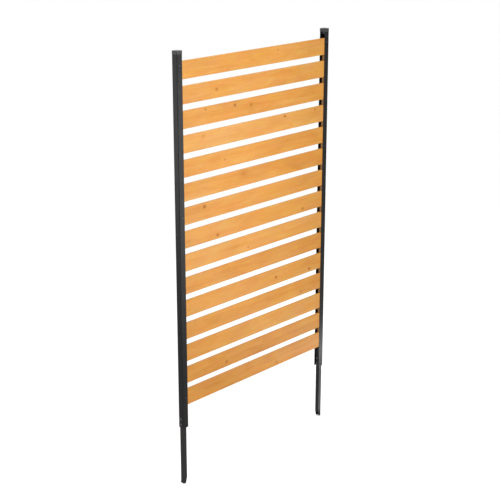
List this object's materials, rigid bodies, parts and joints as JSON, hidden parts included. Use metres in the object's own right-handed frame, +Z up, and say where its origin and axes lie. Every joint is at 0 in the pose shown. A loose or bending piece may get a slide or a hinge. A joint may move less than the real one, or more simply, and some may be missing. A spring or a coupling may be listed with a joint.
{
  "type": "garden privacy screen",
  "caption": "Upright slatted privacy screen for a garden: level wooden slats with gaps between two slim steel posts on ground stakes.",
  "frame": {"origin": "on the ground line, midway between the posts and midway through their depth: the level that the posts' feet reach when the stakes are driven in", "axes": "+X along the slats towards the right post seen from the front, -Y out of the front face, +Z up"},
  "size_m": [0.906, 0.0298, 1.8],
  "materials": {
    "slat_wood": "honey-coloured stain, satin",
    "dark_wood": "sawn softwood, dark brown stain, matt",
    "powder_coated_steel": "black powder coat, satin",
    "cap_plastic": "black moulded plastic, fine texture",
    "zinc_plated_steel": "black zinc plating"
  },
  "bodies": {
    "root": {"slat_01": "slat_wood", "slat_02": "slat_wood", "slat_03": "slat_wood", "slat_04": "slat_wood", "slat_05": "slat_wood", "slat_06": "slat_wood", "slat_07": "slat_wood", "slat_08": "slat_wood", "slat_09": "slat_wood", "slat_10": "slat_wood", "slat_11": "slat_wood", "slat_12": "slat_wood", "slat_13": "slat_wood", "slat_14": "slat_wood", "slat_15": "slat_wood", "left_post": "powder_coated_steel", "left_cap": "cap_plastic", "left_stake": "powder_coated_steel", "left_spacers": "dark_wood", "left_batten": "dark_wood", "left_slat_screws": "zinc_plated_steel", "left_stake_bolts": "zinc_plated_steel", "left_stake_washers": "zinc_plated_steel", "left_stake_nuts": "zinc_plated_steel", "right_post": "powder_coated_steel", "right_cap": "cap_plastic", "right_stake": "powder_coated_steel", "right_spacers": "dark_wood", "right_batten": "dark_wood", "right_slat_screws": "zinc_plated_steel", "right_stake_bolts": "zinc_plated_steel", "right_stake_washers": "zinc_plated_steel", "right_stake_nuts": "zinc_plated_steel"}
  },
  "joints": []
}
